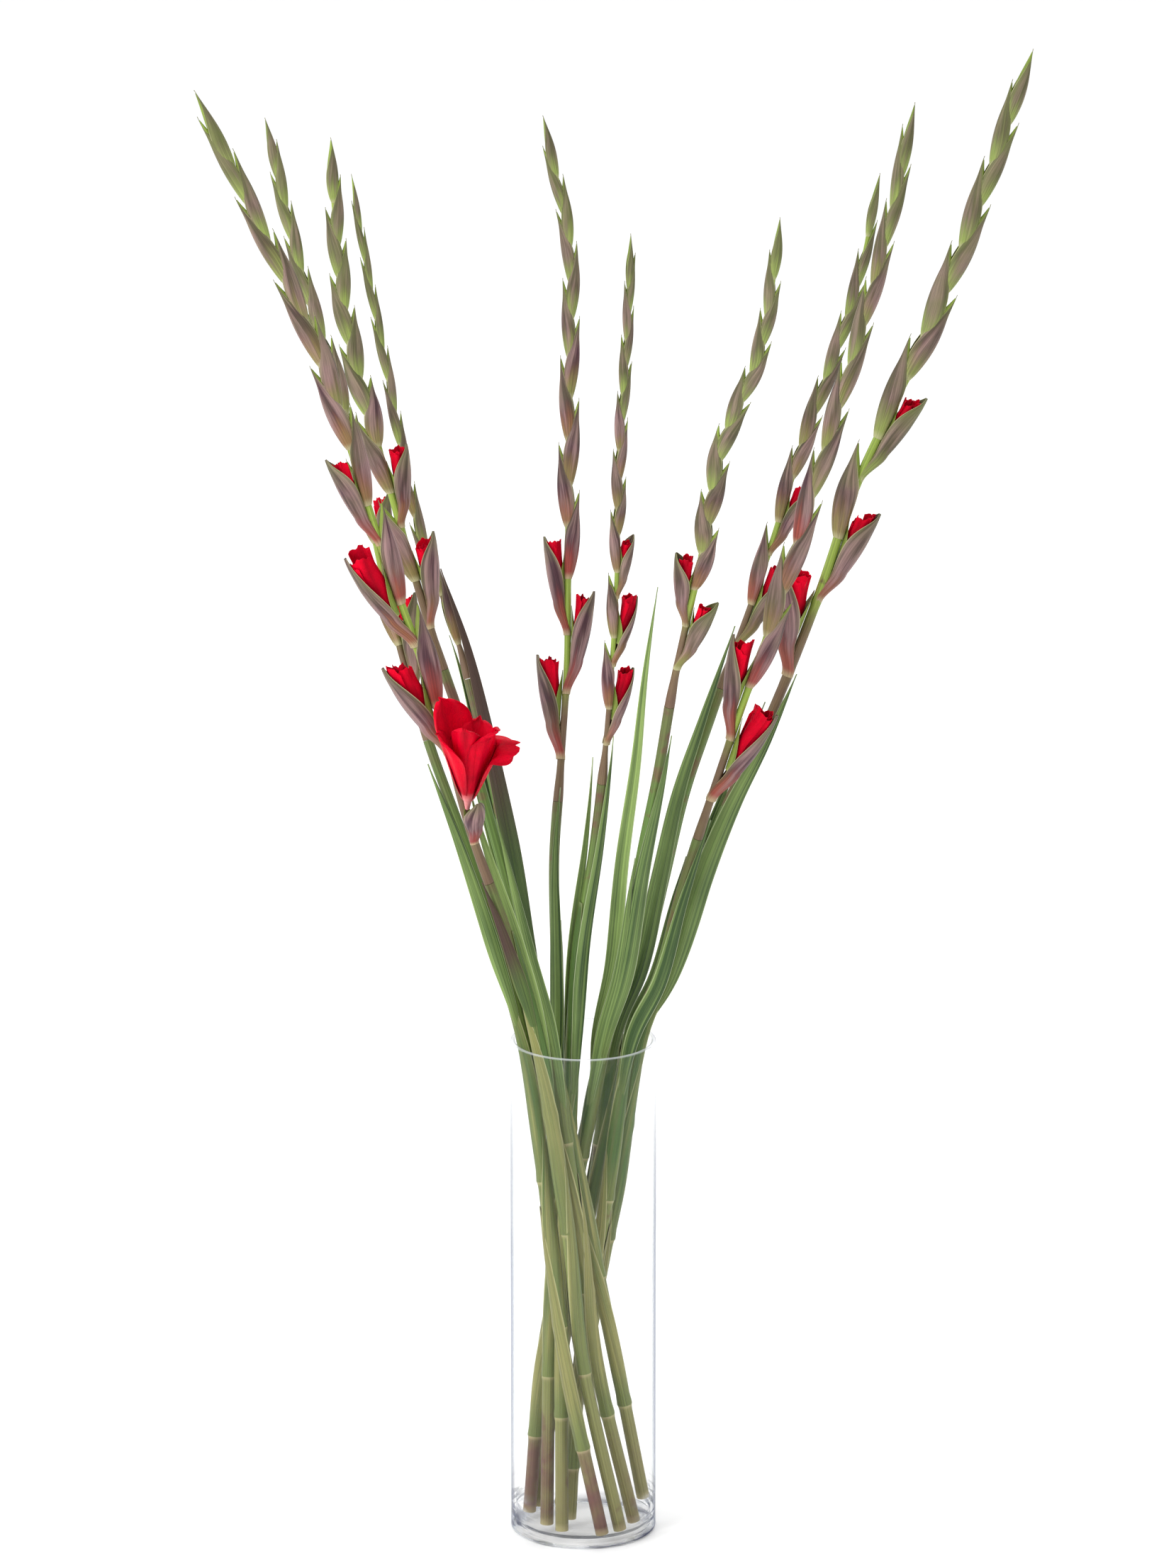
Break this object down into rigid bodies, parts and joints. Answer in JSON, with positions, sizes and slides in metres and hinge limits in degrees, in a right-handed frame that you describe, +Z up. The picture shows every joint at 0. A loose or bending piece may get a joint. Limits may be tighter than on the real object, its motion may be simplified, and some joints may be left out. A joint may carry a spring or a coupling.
{
  "type": "cut gladiolus",
  "caption": "Tall cut gladiolus stems in red bud, one flower open, standing in a clear straight glass cylinder vase.",
  "frame": {"origin": "the middle of the vase's underside, where it stands", "axes": "+Z up along the vase; +X to the right and -Y towards the viewer in the view of the picture"},
  "size_m": [0.642, 0.392, 1.189],
  "materials": {
    "glass": "clear colourless glass, smooth, with a rounded fire-polished rim",
    "stalk": null,
    "spike": null,
    "petal": null
  },
  "bodies": {
    "root": {"vase": "glass", "stalk_01": "stalk", "stalk_02": "stalk", "stalk_03": "stalk", "stalk_04": "stalk", "stalk_05": "stalk", "stalk_06": "stalk", "stalk_07": "stalk", "stalk_08": "stalk", "stalk_09": "stalk", "stalk_10": "stalk", "spike_01": "spike", "spike_02": "spike", "spike_03": "spike", "spike_04": "spike", "spike_05": "spike", "spike_06": "spike", "spike_07": "spike", "spike_08": "spike", "spike_09": "spike", "spike_10": "spike", "floret_01_1": "petal", "floret_01_2": "petal", "floret_01_3": "petal", "floret_02_1": "petal", "floret_02_2": "petal", "floret_03_1": "petal", "floret_03_2": "petal", "floret_05_1": "petal", "floret_05_2": "petal", "floret_05_3": "petal", "floret_06_1": "petal", "floret_06_2": "petal", "floret_06_3": "petal", "floret_07_1": "petal", "floret_07_2": "petal", "floret_08_1": "petal", "floret_08_2": "petal", "floret_09_1": "petal", "floret_09_2": "petal", "floret_10_1": "petal", "floret_10_2": "petal", "floret_10_3": "petal", "open_flower": "petal"}
  },
  "joints": []
}
